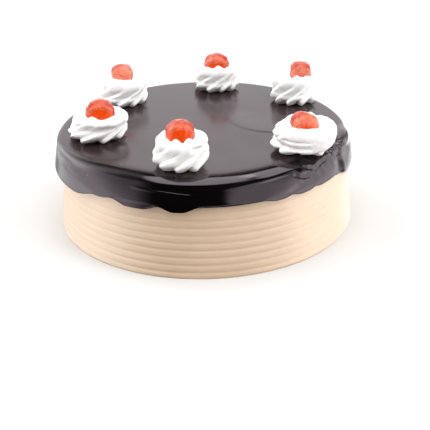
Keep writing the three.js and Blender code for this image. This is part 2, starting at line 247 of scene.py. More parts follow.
# Outline of a swirl from foot to rim: shares of the radius and the height, depth of the ridges,
# lean of the upper coil, rise of the ridges at the rim, lift of the hollows at the foot
SWIRL_ROWS = [
    (0.000, 0.00, 0.000, 0.00, 0.00, 0.00),
    (0.400, 0.00, 0.000, 0.00, 0.00, 0.00),
    (0.690, 0.00, 0.150, 0.00, 0.00, 0.05),
    (0.790, 0.04, 0.210, 0.00, 0.00, 0.10),
    (0.875, 0.12, 0.200, 0.00, 0.00, 0.07),
    (0.925, 0.22, 0.170, 0.01, 0.00, 0.02),
    (0.940, 0.33, 0.140, 0.02, 0.00, 0.00),
    (0.915, 0.45, 0.125, 0.03, 0.00, 0.00),
    (0.885, 0.54, 0.110, 0.04, 0.00, 0.00),
    (0.885, 0.63, 0.100, 0.04, 0.00, 0.00),
    (0.900, 0.73, 0.095, 0.04, 0.00, 0.00),
    (0.890, 0.83, 0.090, 0.03, 0.02, 0.00),
    (0.840, 0.92, 0.090, 0.02, 0.05, 0.00),
    (0.740, 0.98, 0.085, 0.01, 0.10, 0.00),
    (0.610, 1.00, 0.070, 0.00, 0.15, 0.00),
    (0.450, 0.90, 0.030, 0.00, 0.06, 0.00),
    (0.220, 0.74, 0.000, 0.00, 0.00, 0.00),
    (0.000, 0.70, 0.000, 0.00, 0.00, 0.00),
]
RIM_PEAK = 0.15
# Height share of the waist between the coils, its width, and how far a calm place fills it
SWIRL_WAIST = (0.57, 0.15, 0.05)
# Steps round for each ridge, and up for each row of the outline
SWIRL_PER_RIDGE = 26
SWIRL_PER_ROW = 7
# Ridges: share that the steep side takes, sharpness of a thin crest and roundness of a puffed one, mean
# height of both, and how far a crest leans over the hollow, in degrees
RIDGE_STEEP_SHARE = 0.34
RIDGE_SHARPNESS = 1.35
RIDGE_PUFF = 1.9
RIDGE_MEAN = (0.42, 0.66)
RIDGE_OVERHANG = 3.5
# Ridge depth, as a share of the radius, from which ridges lean over in full
RIDGE_FULL = 0.1
# How far the turn of the ridges follows a bent course instead of a straight one, and the range of their
# heights
RIDGE_BEND = 0.9
RIDGE_HEIGHTS = (0.75, 1.2)
# Uneven spacing of the ridges: range of its size in ridges, the slow waves round the swirl that make it,
# and the range of the angles where they start, in radians
RIDGE_WANDER = (0.08, 0.2)
RIDGE_WANDER_WAVES = (1, 2, 3)
RIDGE_WANDER_STARTS = (0.0, 6.28)
# Shares of the height over which the ridges turn, become those of the crown, are calmed, and over which
# the foot's shift becomes the crown's
TWIST_SPAN = (0.06, 0.96)
CROWN_SPAN = (0.45, 0.8)
CALM_SPAN = (0.05, 0.3)
SHIFT_SPAN = (0.3, 0.7)
# A fold runs out over its half-width and some degrees more, and the teeth over their own; the teeth's mean
# height, and the ridge depth from which rows have teeth
SWIRL_FOLD_SOFT = 12.0
TEETH_SOFT = 30.0
TEETH_MEAN = 0.6
TEETH_FROM = 0.05
# Height of a ridge below which the foot is lifted
LIFT_MEAN = 0.6
# Unevenness of the cream: size, lengths of its waves, heights where it grows
CREAM_UNEVEN = (0.22, (9.0, 5.0, 3.0), (0.0, 2.0))

# Cherries: radius, middle above the glaze, sideways shift, flattening, squareness (2 is round), lobes,
# depth and turn of the lobes, lean to the right, share of the orange core that shows
CHERRIES = {
    "front_mid": dict(
        radius=9.3, lift=22.0, shift=0.2, flat=0.88, square=2.2, lobes=3, depth=0.03, turn=20, lean=0,
        core=1.0,
    ),
    "front_left": dict(
        radius=9.5, lift=17.1, shift=1.0, flat=0.9, square=2.1, lobes=3, depth=0.07, turn=-140, lean=-10,
        core=0.9,
    ),
    "back_left": dict(
        radius=7.8, lift=21.3, shift=0.6, flat=0.8, square=2.3, lobes=3, depth=0.1, turn=100, lean=16,
        core=0.0,
    ),
    "back_mid": dict(
        radius=9.2, lift=18.7, shift=0.6, flat=0.76, square=2.2, lobes=2, depth=0.06, turn=90, lean=0,
        core=0.75,
    ),
    "back_right": dict(
        radius=7.0, lift=20.9, shift=5.6, flat=0.92, square=3.6, lobes=4, depth=0.04, turn=0, lean=4,
        core=0.1,
    ),
    "front_right": dict(
        radius=9.1, lift=17.3, shift=-0.4, flat=0.78, square=2.2, lobes=2, depth=0.06, turn=90, lean=15,
        core=0.5,
    ),
}
CHERRY_AROUND = 96
CHERRY_RINGS = 56
# Unevenness of a cherry, as a share of its radius, and the lengths of its waves
CHERRY_UNEVEN = 0.055
CHERRY_UNEVEN_SIZES = (12.0, 6.5, 4.0)
# Orange core of a cherry: its middle across and up as shares of the cherry, and how far it is squeezed
CORE_MIDDLE = (0.5, 0.46)
CORE_SQUEEZE = (1.15, 1.5)
# The seat in the cream is larger than the cherry by a share and a gap
SEAT_SHARE = 1.07
SEAT_GAP = 0.12

# Camera, in metres, and the lens
CAMERA_PLACE = (0.0, -0.8080, 0.3831)
CAMERA_RIGHT = (0.9995, -0.0196, -0.0236)
CAMERA_UP = (0.0298, 0.4307, 0.9020)
CAMERA_FORWARD = (0.0075, 0.9023, -0.4311)
CAMERA_LENS = 106.74
CAMERA_SENSOR = 36.0


def ease(low, high, value):
    """Smooth step from 0 at low to 1 at high."""
    share = np.clip((value - low) / (high - low), 0.0, 1.0)
    return share * share * (3.0 - 2.0 * share)


def turn_from(angle, origin):
    """Shortest signed turn from origin to angle, in degrees."""
    return (angle - origin + 180.0) % 360.0 - 180.0


def hump(away, half, soft):
    """1 within half of the middle, easing to 0 over soft."""
    return 1.0 - ease(half, half + soft, np.abs(away))


def bell(away, half):
    """1 in the middle, falling off softly at about half."""
    return np.exp(-((away / half) ** 2))


def spell(value, start, end):
    """Eases from 0 to 1 over start and back to 0 over end."""
    return ease(*start, value) * (1.0 - ease(*end, value))


def mixed(a, b, share):
    return a + (b - a) * share


def curve_through(knots, per_span):
    """A smooth curve through rows of knots, as a list of arrays; the spacing follows the chords."""
    knots = np.asarray(knots, float)
    count = len(knots)
    flat = knots.reshape(count, -1)
    chords = np.sqrt(np.linalg.norm(np.diff(flat, axis=0), axis=1)) + 1e-6
    at = np.concatenate([[0.0], np.cumsum(chords)])
    slopes = np.diff(knots, axis=0) / chords.reshape((-1,) + (1,) * (knots.ndim - 1))
    tangents = np.empty_like(knots)
    tangents[0] = slopes[0]
    tangents[-1] = slopes[-1]
    for k in range(1, count - 1):
        before, after = chords[k - 1], chords[k]
        tangents[k] = (slopes[k - 1] * after + slopes[k] * before) / (before + after)
    rows = []
    for k in range(count - 1):
        for step in range(per_span):
            s = step / per_span
            h = at[k + 1] - at[k]
            rows.append(
                (2 * s**3 - 3 * s**2 + 1) * knots[k]
                + (s**3 - 2 * s**2 + s) * h * tangents[k]
                + (3 * s**2 - 2 * s**3) * knots[k + 1]
                + (s**3 - s**2) * h * tangents[k + 1]
            )
    rows.append(knots[-1])
    return np.array(rows)


def waves(points, sizes, seed):
    """Smooth unevenness, mostly from -1 to 1, at points, made of seeded waves of the given lengths."""
    draw = np.random.default_rng(seed)
    total = np.zeros(points.shape[:-1])
    for size in sizes:
        for _ in range(WAVES_PER_SIZE):
            way = draw.normal(size=3)
            way *= 2.0 * math.pi / (size * np.linalg.norm(way))
            total += np.sin(points @ way + draw.uniform(0.0, 2.0 * math.pi))
    return total / (2.0 * math.sqrt(WAVES_PER_SIZE * len(sizes)))


def round_waves(way, height, parts):
    """Waves round the cake at a height, each with a size, a count, a start and a climb."""
    return sum(size * np.sin(count * way + start + climb * height) for size, count, start, climb in parts)


def turned_points(radius, angle, height, offset=0.0):
    """Points at a radius and angle about an upright axis that stands offset to the right."""
    way = np.radians(angle)
    return np.stack(
        np.broadcast_arrays(radius * np.sin(way) + offset, -radius * np.cos(way), height), axis=-1
    )


def grid_normals(points):
    """Outward normals of a grid of rows by angles that is closed round its angles."""
    along = np.gradient(points, axis=0)
    around = np.roll(points, -1, axis=1) - np.roll(points, 1, axis=1)
    normal = np.cross(around, along)
    return normal / np.maximum(np.linalg.norm(normal, axis=-1, keepdims=True), 1e-9)


def skin(name, points):
    """A closed mesh on a grid of rows by angles in millimetres, whose first and last rows are poles."""
    rows, segments = points.shape[:2]
    vertices = np.concatenate(
        [points[0].mean(axis=0)[None], points[1:-1].reshape(-1, 3), points[-1].mean(axis=0)[None]]
    )
    here = np.arange(segments)
    beside = (here + 1) % segments
    faces = [np.stack([np.zeros_like(here), 1 + beside, 1 + here], axis=1).tolist()]
    for row in range(rows - 3):
        low, high = 1 + row * segments, 1 + (row + 1) * segments
        faces.append(np.stack([low + here, low + beside, high + beside, high + here], axis=1).tolist())
    last, ring = len(vertices) - 1, 1 + (rows - 3) * segments
    faces.append(np.stack([np.full_like(here, last), ring + here, ring + beside], axis=1).tolist())
    mesh = bpy.data.meshes.new(name)
    mesh.from_pydata((vertices * MM).tolist(), [], [face for band in faces for face in band])
    mesh.update()
    mesh.shade_smooth()
    piece = bpy.data.objects.new(name, mesh)
    bpy.context.scene.collection.objects.link(piece)
    return piece


def serve(piece, material, node):
    """Dresses a piece and lets it ride on the cake in place of its solid."""
    piece.data.materials.append(material)
    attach(piece, "root")
    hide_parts(node)


class Signal:
    """An output socket whose arithmetic adds Math nodes to its tree."""

    def __init__(self, nodes, socket):
        self.nodes = nodes
        self.socket = socket

    def maths(self, operation, first, second):
        return self.nodes.add("ShaderNodeMath", {"operation": operation}, {0: first, 1: second})

    def __add__(self, other):
        return self.maths("ADD", self, other)

    __radd__ = __add__

    def __sub__(self, other):
        return self.maths("SUBTRACT", self, other)

    def __rsub__(self, other):
        return self.maths("SUBTRACT", other, self)

    def __mul__(self, other):
        return self.maths("MULTIPLY", self, other)

    __rmul__ = __mul__

    def __pow__(self, other):
        return self.maths("POWER", self, other)

    def __rpow__(self, other):
        return self.maths("POWER", other, self)


class Nodes:
    """A node tree, and the one way in which nodes are added to it."""

    def __init__(self, tree):
        self.tree = tree
        tree.nodes.clear()

    def add(self, kind, settings=None, sockets=None, output=0):
        node = self.tree.nodes.new(kind)
        for name, value in (settings or {}).items():
            setattr(node, name, value)
        for key, value in (sockets or {}).items():
            if isinstance(value, Signal):
                self.tree.links.new(value.socket, node.inputs[key])
            else:
                node.inputs[key].default_value = value
        return Signal(self, node.outputs[output]) if node.outputs else None

    def place(self):
        """Place on the piece, in metres."""
        return self.add("ShaderNodeTexCoord", output="Object")

    def stretched(self, vector, scale):
        return self.add("ShaderNodeVectorMath", {"operation": "MULTIPLY"}, {0: vector, 1: scale})

    def cloud(self, vector, size, detail):
        """Soft noise whose features are about size metres across."""
        return self.add(
            "ShaderNodeTexNoise",
            {"noise_dimensions": "3D"},
            {"Vector": vector, "Scale": 1.0 / size, "Detail": detail},
        )

    def range(self, value, low, high, to_low=0.0, to_high=1.0):
        return self.add(
            "ShaderNodeMapRange",
            {"interpolation_type": "SMOOTHSTEP"},
            {"Value": value, "From Min": low, "From Max": high, "To Min": to_low, "To Max": to_high},
        )

    def blend(self, share, first, second):
        return self.add(
            "ShaderNodeMix", {"data_type": "RGBA"}, {0: share, 6: first, 7: second}, output=2
        )

    def relief(self, height, depth, strength):
        return self.add(
            "ShaderNodeBump", None, {"Height": height, "Distance": depth, "Strength": strength}
        )


def solid_colour(colour):
    return (colour[0], colour[1], colour[2], 1.0)


def new_finish(name):
    material = bpy.data.materials.new(name)
    material.use_nodes = True
    return material, Nodes(material.node_tree)


def close_finish(nodes, sockets):
    surface = nodes.add("ShaderNodeBsdfPrincipled", None, sockets)
    nodes.add("ShaderNodeOutputMaterial", None, {"Surface": surface})


def coffee_cream_finish(settings):
    """Matt buttercream: faint cloudiness, fine drag lines of the comb and small air holes."""
    material, nodes = new_finish("coffee_cream")
    place = nodes.place()
    cloudy = nodes.cloud(place, size=0.03, detail=3.0)
    drag = nodes.cloud(nodes.stretched(place, (1.0, 1.0, 14.0)), size=0.012, detail=2.0)
    grain = nodes.cloud(place, size=0.0011, detail=2.0)
    pale = solid_colour(settings.cream_colour)
    deep = solid_colour(settings.cream_deep_colour)
    share = nodes.range(cloudy * 0.6 + drag * 0.4, 0.35, 0.68)
    colour = nodes.blend(share, deep, pale)
    close_finish(nodes, {
        "Base Color": colour,
        "Roughness": 0.36 + 0.14 * grain,
        "IOR": 1.7,
        "Specular IOR Level": 0.8,
        "Sheen Weight": 0.25,
        "Sheen Roughness": 0.4,
        "Subsurface Weight": 0.12,
        "Subsurface Radius": (1.0, 0.6, 0.35),
        "Subsurface Scale": 0.003,
        "Normal": nodes.relief(drag * 0.6 + grain * 0.4, depth=0.00022, strength=0.6),
    })
    return material


def chocolate_glaze_finish(settings):
    """Dark poured glaze, glossy with a slight waviness, duller on its flat top and where it is torn; a
    lighter warm brown painted on the flat top lightens its reflections.
    """
    material, nodes = new_finish("chocolate_glaze")
    place = nodes.place()
    cloudy = nodes.cloud(place, size=0.035, detail=3.0)
    wavy = nodes.cloud(place, size=0.011, detail=1.0)
    height = nodes.add("ShaderNodeSeparateXYZ", None, {0: place}, output="Z")
    flat = nodes.range(height, *FLAT_HEIGHTS)
    away = nodes.add(
        "ShaderNodeVectorMath", {"operation": "DISTANCE"}, {0: place, 1: TORN_PLACE}, output="Value"
    )
    torn = nodes.range(away, *TORN_REACH, to_low=0.6, to_high=0.0)
    # Painted reflection: the flat top is blended towards a lighter warm brown that lightens its
    # reflections.
    colour = nodes.blend(
        flat * nodes.range(cloudy, 0.3, 0.7, 0.6, 1.0),
        solid_colour(settings.glaze_colour),
        solid_colour(settings.glaze_top_reflection_colour),
    )
    close_finish(nodes, {
        "Base Color": colour,
        "Roughness": 0.06 + 0.06 * cloudy + 0.1 * flat + torn,
        "IOR": 1.6,
        "Specular Tint": (1.0, 0.84, 0.94, 1.0),
        "Normal": nodes.relief(wavy, depth=0.00004, strength=0.5),
    })
    return material


def whipped_cream_finish(settings):
    """Soft white piped cream with a fine aerated grain."""
    material, nodes = new_finish("whipped_cream")
    place = nodes.place()
    cloudy = nodes.cloud(place, size=0.009, detail=3.0)
    grain = nodes.cloud(place, size=0.0009, detail=2.0)
    colour = nodes.blend(
        nodes.range(cloudy, 0.3, 0.7),
        solid_colour(settings.whipped_shade_colour),
        solid_colour(settings.whipped_colour),
    )
    close_finish(nodes, {
        "Base Color": colour,
        "Roughness": 0.42 + 0.2 * grain,
        "Specular IOR Level": 0.4,
        "Subsurface Weight": 0.25,
        "Subsurface Radius": (1.0, 0.85, 0.75),
        "Subsurface Scale": 0.0025,
        "Normal": nodes.relief(grain, depth=0.00012, strength=0.5),
    })
    return material


def candied_cherry_finish(settings):
    """Sticky translucent candied fruit: an orange core, coral round it that is partly painted rim sheen,
    painted shade at its outline and round the core, a paler, duller painted sheen at the top and a faint
    painted glow. The alpha of the piece's own colour tells how much of the core shows."""
    material, nodes = new_finish("candied_cherry")
    place = nodes.place()
    share = nodes.add("ShaderNodeTexCoord", output="Generated")
    width = nodes.add("ShaderNodeSeparateXYZ", None, {0: share}, output="X")
    height = nodes.add("ShaderNodeSeparateXYZ", None, {0: share}, output="Z")
    cloudy = nodes.cloud(place, size=0.007, detail=2.0)
    veins = nodes.cloud(nodes.stretched(place, (1.0, 1.0, 0.6)), size=0.0026, detail=3.0)
    faded = 1.0 - nodes.add("ShaderNodeObjectInfo", output="Alpha")
    aside = ((width - CORE_MIDDLE[0]) * CORE_SQUEEZE[0]) ** 2.0
    above = ((height - CORE_MIDDLE[1]) * CORE_SQUEEZE[1]) ** 2.0
    from_core = (aside + above) ** 0.5 + 0.2 * (cloudy - 0.5) + 0.25 * (veins - 0.5) + 0.45 * faded
    # Coral round the orange core: partly the fruit's own colour, partly painted rim sheen.
    coral = nodes.blend(
        faded, solid_colour(settings.cherry_coral_and_sheen_colour), solid_colour(settings.cherry_light_colour)
    )
    flesh = nodes.blend(nodes.range(from_core, 0.44, 0.54), solid_colour(settings.cherry_colour), coral)
    cells = nodes.add(
        "ShaderNodeTexVoronoi", {"feature": "DISTANCE_TO_EDGE"}, {"Vector": place, "Scale": 260.0},
    )
    seams = nodes.range(cells, 0.0, 0.2, 0.32, 0.0)
    # Painted shade: the flesh darkens towards the cherry's outline as seen from the front.
    outline = ((width - 0.5) * 2.0) ** 2.0 + ((height - 0.5) * 2.0) ** 2.0
    edge = nodes.range(outline, 0.7, 0.95, 0.0, 0.9)
    # Painted shade in a thin line just outside the orange core.
    core_shade_line = nodes.range(from_core, 0.5, 0.56) * nodes.range(from_core, 0.56, 0.62, 0.4, 0.0)
    flesh = nodes.blend(seams + edge + core_shade_line, flesh, solid_colour(settings.cherry_seam_and_shade_colour))
    # Painted sheen: towards the top each cherry turns to a paler, duller colour that stands in for the
    # reflected sky.
    top = nodes.range(height + 0.3 * (cloudy - 0.5), 0.82, 1.0, 0.0, 0.5)
    close_finish(nodes, {
        "Base Color": nodes.blend(top, flesh, solid_colour(settings.cherry_top_sheen_colour)),
        # Painted glow: the cherry's flesh colour, painted shade included, also glows faintly.
        "Emission Color": flesh,
        "Emission Strength": 0.12,
        "Roughness": 0.16 + 0.16 * veins,
        "IOR": 1.34,
        "Specular IOR Level": 0.35,
        "Coat Weight": 0.2,
        "Coat Roughness": 0.12,
        "Coat IOR": 1.25,
        "Coat Tint": (0.95, 0.62, 0.5, 1.0),
        "Subsurface Weight": 0.3,
        "Subsurface Radius": (1.0, 0.3, 0.1),
        "Subsurface Scale": 0.002,
        "Normal": nodes.relief(veins, depth=0.0003, strength=0.45),
    })
    return material


def floor_finish(name, colour):
    """Plain matt sheet with a barely visible mottle."""
    material, nodes = new_finish(name)
    mottle = nodes.cloud(nodes.place(), size=0.4, detail=2.0)
    pale = solid_colour(colour)
    dim = tuple(0.97 * part for part in pale[:3]) + (1.0,)
    close_finish(nodes, {
        "Base Color": nodes.blend(mottle, dim, pale),
        "Roughness": 0.9,
        "Specular IOR Level": 0.1,
    })
    return material


def body_radius(sizes, height):
    return sizes.base_radius / MM - sizes.side_taper * height


def comb_depth(height):
    """Share of the groove's depth at a height up the combed side."""
    share = (height - COMB_FIRST_GROOVE) / COMB_PITCH
    depth = (0.5 + 0.5 * np.cos(2.0 * math.pi * share)) ** COMB_SHARPNESS
    below = height < COMB_FIRST_GROOVE - COMB_PITCH * COMB_END
    return np.where(below, 0.0, depth)


def comb_pressure(angle):
    """Share of the groove's depth at an angle round the cake."""
    beside = turn_from(angle, 0.0)
    right, *right_angles = COMB_LIGHT_RIGHT
    left, *left_angles = COMB_LIGHT_LEFT
    lighter = right * ease(*right_angles, beside) + left * ease(*left_angles, -beside)
    return 1.0 - lighter * (1.0 - ease(*COMB_BACK_AGAIN, np.abs(beside)))


def body_points(sizes):
    """Grid of the combed body from the middle of its base to the middle of its top."""
    angle = np.arange(BODY_SEGMENTS) * 360.0 / BODY_SEGMENTS
    edge = BODY_TOP - BODY_BEVEL_HEIGHT
    first = COMB_FIRST_GROOVE - 0.5 * COMB_PITCH
    steps = np.arange((COMB_GROOVES + 1) * COMB_ROWS) / COMB_ROWS
    side = np.concatenate([FOOT_ROWS, first + steps * COMB_PITCH])
    side = side[side < edge - LAST_STEP]
    rows = []
    for radius in BODY_BASE_RINGS + (body_radius(sizes, 0.0) - FOOT_INSET,):
        rows.append(turned_points(radius, angle, 0.0, BODY_OFFSET))
    way = np.radians(angle)
    foot_inset, foot_height = FOOT_ROUND
    for height in side:
        wander = round_waves(way, height, COMB_WANDER) * ease(*COMB_WANDER_HEIGHTS, height)
        depth = comb_depth(height) * comb_pressure(angle) * (sizes.groove_depth / MM)
        depth *= 1.0 + round_waves(way, height, COMB_PRESS)
        foot = foot_inset * (1.0 - ease(0.0, foot_height, height))
        radius = body_radius(sizes, height) - depth - foot
        rows.append(turned_points(radius, angle, height + wander, BODY_OFFSET))
    rows.append(turned_points(body_radius(sizes, edge), angle, edge, BODY_OFFSET))
    for radius in (body_radius(sizes, edge) - BODY_BEVEL_WIDTH,) + BODY_TOP_RINGS:
        rows.append(turned_points(radius, angle, BODY_TOP, BODY_OFFSET))
    points = np.array(rows)
    uneven = waves(points, SIDE_UNEVEN_SIZES, SEED) * SIDE_UNEVEN
    on_side = (points[..., 2] > FOOT_ROWS[0]) & (points[..., 2] < edge)
    points[..., :2] *= 1.0 + (uneven * on_side / body_radius(sizes, 0.0))[..., None]
    return points


def edge_height(angle):
    """Height of the glaze's lower edge, which each drip pulls down."""
    hang = np.zeros_like(angle)
    for at, half, soft, deep in DRIPS:
        hang = np.maximum(hang, deep * hump(turn_from(angle, at), half, soft))
    return EDGE_HEIGHT - hang


def glaze_angles():
    """Angles round the glaze, closer together where its edge is wrinkled or pitted."""
    fine = np.linspace(-180.0, 180.0, GLAZE_FINE_STEPS + 1)
    density = np.ones_like(fine)
    for at, half, soft, closer in GLAZE_CLOSER:
        density += closer * hump(turn_from(fine, at), half, soft)
    share = np.concatenate([[0.0], np.cumsum((density[1:] + density[:-1]) / 2.0)])
    return np.interp(np.arange(GLAZE_SEGMENTS) / GLAZE_SEGMENTS * share[-1], share, fine)


def glaze_points(sizes):
    """Grid of the glaze cap from the middle of its inner face over its lip to the middle of its top."""
    angle = glaze_angles()
    turn = ease(*SHOULDER_TURN, np.abs(angle))
    edge = edge_height(angle)
    ones = np.ones_like(angle)
    inner_edge = GLAZE_UNDER - BODY_BEVEL_HEIGHT

    def inner(height):
        return body_radius(sizes, height) + FIT_GAP

    rows = []
    for radius in GLAZE_UNDER_RINGS + (inner(inner_edge) - BODY_BEVEL_WIDTH,):
        rows.append(turned_points(radius * ones, angle, GLAZE_UNDER, BODY_OFFSET))
    for share in INNER_SHARES:
        height = mixed(inner_edge * ones, edge + INNER_END, share)
        rows.append(turned_points(inner(height), angle, height, BODY_OFFSET))
    first = len(rows)
    knots = []
    flare = sizes.side_taper * (EDGE_HEIGHT - edge)
    for (front_radius, front_rise), (side_radius, side_rise) in LIP_ROWS:
        radius = mixed(front_radius, side_radius, turn) + flare
        knots.append(np.stack([radius, edge + mixed(front_rise, side_rise, turn)]))
    for (front_radius, front_height), (side_radius, side_height) in SHOULDER_ROWS:
        radius = mixed(front_radius, side_radius, turn)
        knots.append(np.stack([radius, mixed(front_height, side_height, turn)]))
    for radius, height in curve_through(knots, GLAZE_PER_SPAN):
        rows.append(turned_points(radius, angle, height, GLAZE_OFFSET))
    for radius in GLAZE_TOP_RINGS:
        rows.append(turned_points(radius * ones, angle, GLAZE_TOP, GLAZE_OFFSET))
    return glaze_relief(np.array(rows), angle, first)


def path_distance(across, up, path):
    """Distance in millimetres from places on the shoulder to a path of angles and heights."""
    nearest = np.full(across.shape, np.inf)
    corners = np.array(path) * (MM_PER_DEGREE, SHOULDER_STRETCH)
    for start, end in zip(corners[:-1], corners[1:]):
        along = end - start
        share = ((across - start[0]) * along[0] + (up - start[1]) * along[1]) / (along @ along)
        share = np.clip(share, 0.0, 1.0)
        away = np.hypot(across - start[0] - share * along[0], up - start[1] - share * along[1])
        nearest = np.minimum(nearest, away)
    return nearest


def thick_drip(round_by, radius, z):
    """How far the thick drip at the right stands out: a step, a long swell and a waist near the top."""
    drip = THICK_DRIP
    swell = mixed(ease(*drip["swell"], round_by), ease(*drip["step"], round_by), drip["step_share"])
    along = swell * (1.0 - ease(*drip["end"], round_by))
    at, half, deep = drip["waist"]
    thick = drip["thick"] + drip["gain"] * (1.0 - ease(*drip["gain_heights"], z))
    thick = thick - deep * bell(z - at, half)
    return thick * along * ease(*drip["radii"], radius) * ease(*drip["foot_heights"], z)


def left_waist(round_by, radius, z):
    """How far the wall draws in below the shoulder at the left."""
    waist = LEFT_WAIST
    along = hump(turn_from(round_by, waist["at"]), waist["half"], waist["soft"])
    return waist["deep"] * along * bell(z - waist["height"], waist["tall"]) * ease(*waist["radii"], radius)


def wrinkles(points, round_by, radius):
    """Wrinkles, dents and swellings where the glaze puckered in front of the thick drip, and its pits."""
    z = points[..., 2]
    zone = hump(turn_from(round_by, WRINKLES["at"]), WRINKLES["half"], WRINKLES["soft"])
    zone = zone * ease(*WRINKLES["radii"], radius) * ease(*WRINKLES["heights"], z)
    rise = zone * WRINKLES["rise"] * waves(points, WRINKLES["sizes"], SEED + 3)
    across, up = round_by * MM_PER_DEGREE, z * SHOULDER_STRETCH
    for depth, half, path in PUCKERS:
        rise -= depth * bell(path_distance(across, up, path), half) * ease(*PUCKER_RADII, radius)
    return rise


def front_marks(round_by, radius, z):
    """The thin bead and the fold on the front shoulder."""
    bead = bell(radius - np.interp(round_by, *np.transpose(BEAD)), BEAD_HALF)
    bead = BEAD_RISE * bead * spell(round_by, BEAD_START, BEAD_END)
    above = z - np.interp(round_by, *np.transpose(FOLD))
    fold = FOLD_RISE * spell(above, FOLD_STEP, FOLD_FADE)
    return bead + fold * spell(round_by, FOLD_START, FOLD_END) * ease(*FOLD_RADII, radius)


def curl_mark(x, y, radius):
    """The faint curl that the pour left on the flat top."""
    right, back = x - CURL["x"], y - CURL["y"]
    beyond = np.hypot(right, back) - CURL["radius"]
    side = turn_from(np.degrees(np.arctan2(back, right)), CURL["side"])
    rise = CURL["rise"] * spell(beyond, CURL["start"], CURL["drop"])
    return rise * hump(side, CURL["half"], CURL["soft"]) * (radius < CURL["within"])


def glaze_relief(points, angle, first):
    """Adds the unevenness of the pour, the thick drip, the left waist, the wrinkles and the fine marks to
    the rows from first on, which are the outside of the glaze."""
    normal = grid_normals(points)
    x, y, z = points[..., 0], points[..., 1], points[..., 2]
    radius = np.hypot(x - GLAZE_OFFSET, y)
    round_by = np.broadcast_to(angle, radius.shape)
    move = thick_drip(round_by, radius, z) - left_waist(round_by, radius, z)
    for number, (size, lengths, radii) in enumerate((POUR_UNEVEN, WALL_UNEVEN)):
        move += size * waves(points, lengths, SEED + 1 + number) * ease(*radii, radius)
    move += wrinkles(points, round_by, radius)
    move += front_marks(round_by, radius, z)
    move += curl_mark(x, y, radius)
    move[:first] = 0.0
    return points + normal * move[..., None]


def ridge_relief(phase, heights, puff):
    """Crests, steep to the left and falling gently to the right, about their mean; phase counts ridges."""
    ridge = np.floor(phase)
    past = phase - ridge
    gentle = past < 1.0 - RIDGE_STEEP_SHARE
    away = np.where(gentle, past / (1.0 - RIDGE_STEEP_SHARE), (1.0 - past) / RIDGE_STEEP_SHARE)
    owner = (np.where(gentle, ridge, ridge + 1) % len(heights)).astype(int)
    crest = mixed((1.0 - away) ** RIDGE_SHARPNESS, 1.0 - away**RIDGE_PUFF, puff)
    return crest * heights[owner] - mixed(*RIDGE_MEAN, puff)


def cherry_reach(cherry, way):
    """Radius of a cherry in the direction way, before it is flattened."""
    around = np.arctan2(way[..., 0], -way[..., 1])
    girth = way[..., 0] ** 2 + way[..., 1] ** 2
    lobes = np.cos(cherry["lobes"] * around - math.radians(cherry["turn"]))
    power = cherry["square"]
    block = np.sum(np.abs(way) ** power, axis=-1) ** (-1.0 / power)
    return cherry["radius"] * block * (1.0 + cherry["depth"] * lobes * girth)


def cherry_frame(cherry):
    """Middle of a cherry above its swirl's place, and its lean."""
    lean = math.radians(cherry["lean"])
    rotation = np.array([
        [math.cos(lean), 0.0, math.sin(lean)], [0.0, 1.0, 0.0], [-math.sin(lean), 0.0, math.cos(lean)],
    ])
    return np.array([cherry["shift"], 0.0, cherry["lift"]]), rotation


def cherry_points(cherry, seed):
    """Grid of a cherry from its underside to its top, about its swirl's place."""
    around = np.arange(CHERRY_AROUND) * 360.0 / CHERRY_AROUND
    up = np.radians(np.linspace(-90.0, 90.0, CHERRY_RINGS + 1))
    way = np.array([turned_points(math.cos(e) * np.ones_like(around), around, math.sin(e)) for e in up])
    points = way * cherry_reach(cherry, way)[..., None]
    points *= 1.0 + CHERRY_UNEVEN * waves(points, CHERRY_UNEVEN_SIZES, seed)[..., None]
    points[..., 2] *= cherry["flat"]
    middle, rotation = cherry_frame(cherry)
    return points @ rotation.T + middle


def press_cherry(points, cherry):
    """Moves cream that lies inside a cherry out to its skin."""
    middle, rotation = cherry_frame(cherry)
    local = (points - middle) @ rotation
    local[..., 2] /= cherry["flat"]
    far = np.maximum(np.linalg.norm(local, axis=-1), 1e-6)
    way = local / far[..., None]
    least = cherry_reach(cherry, way) * SEAT_SHARE + SEAT_GAP
    moved = way * np.maximum(far, least)[..., None]
    moved[..., 2] *= cherry["flat"]
    return moved @ rotation.T + middle


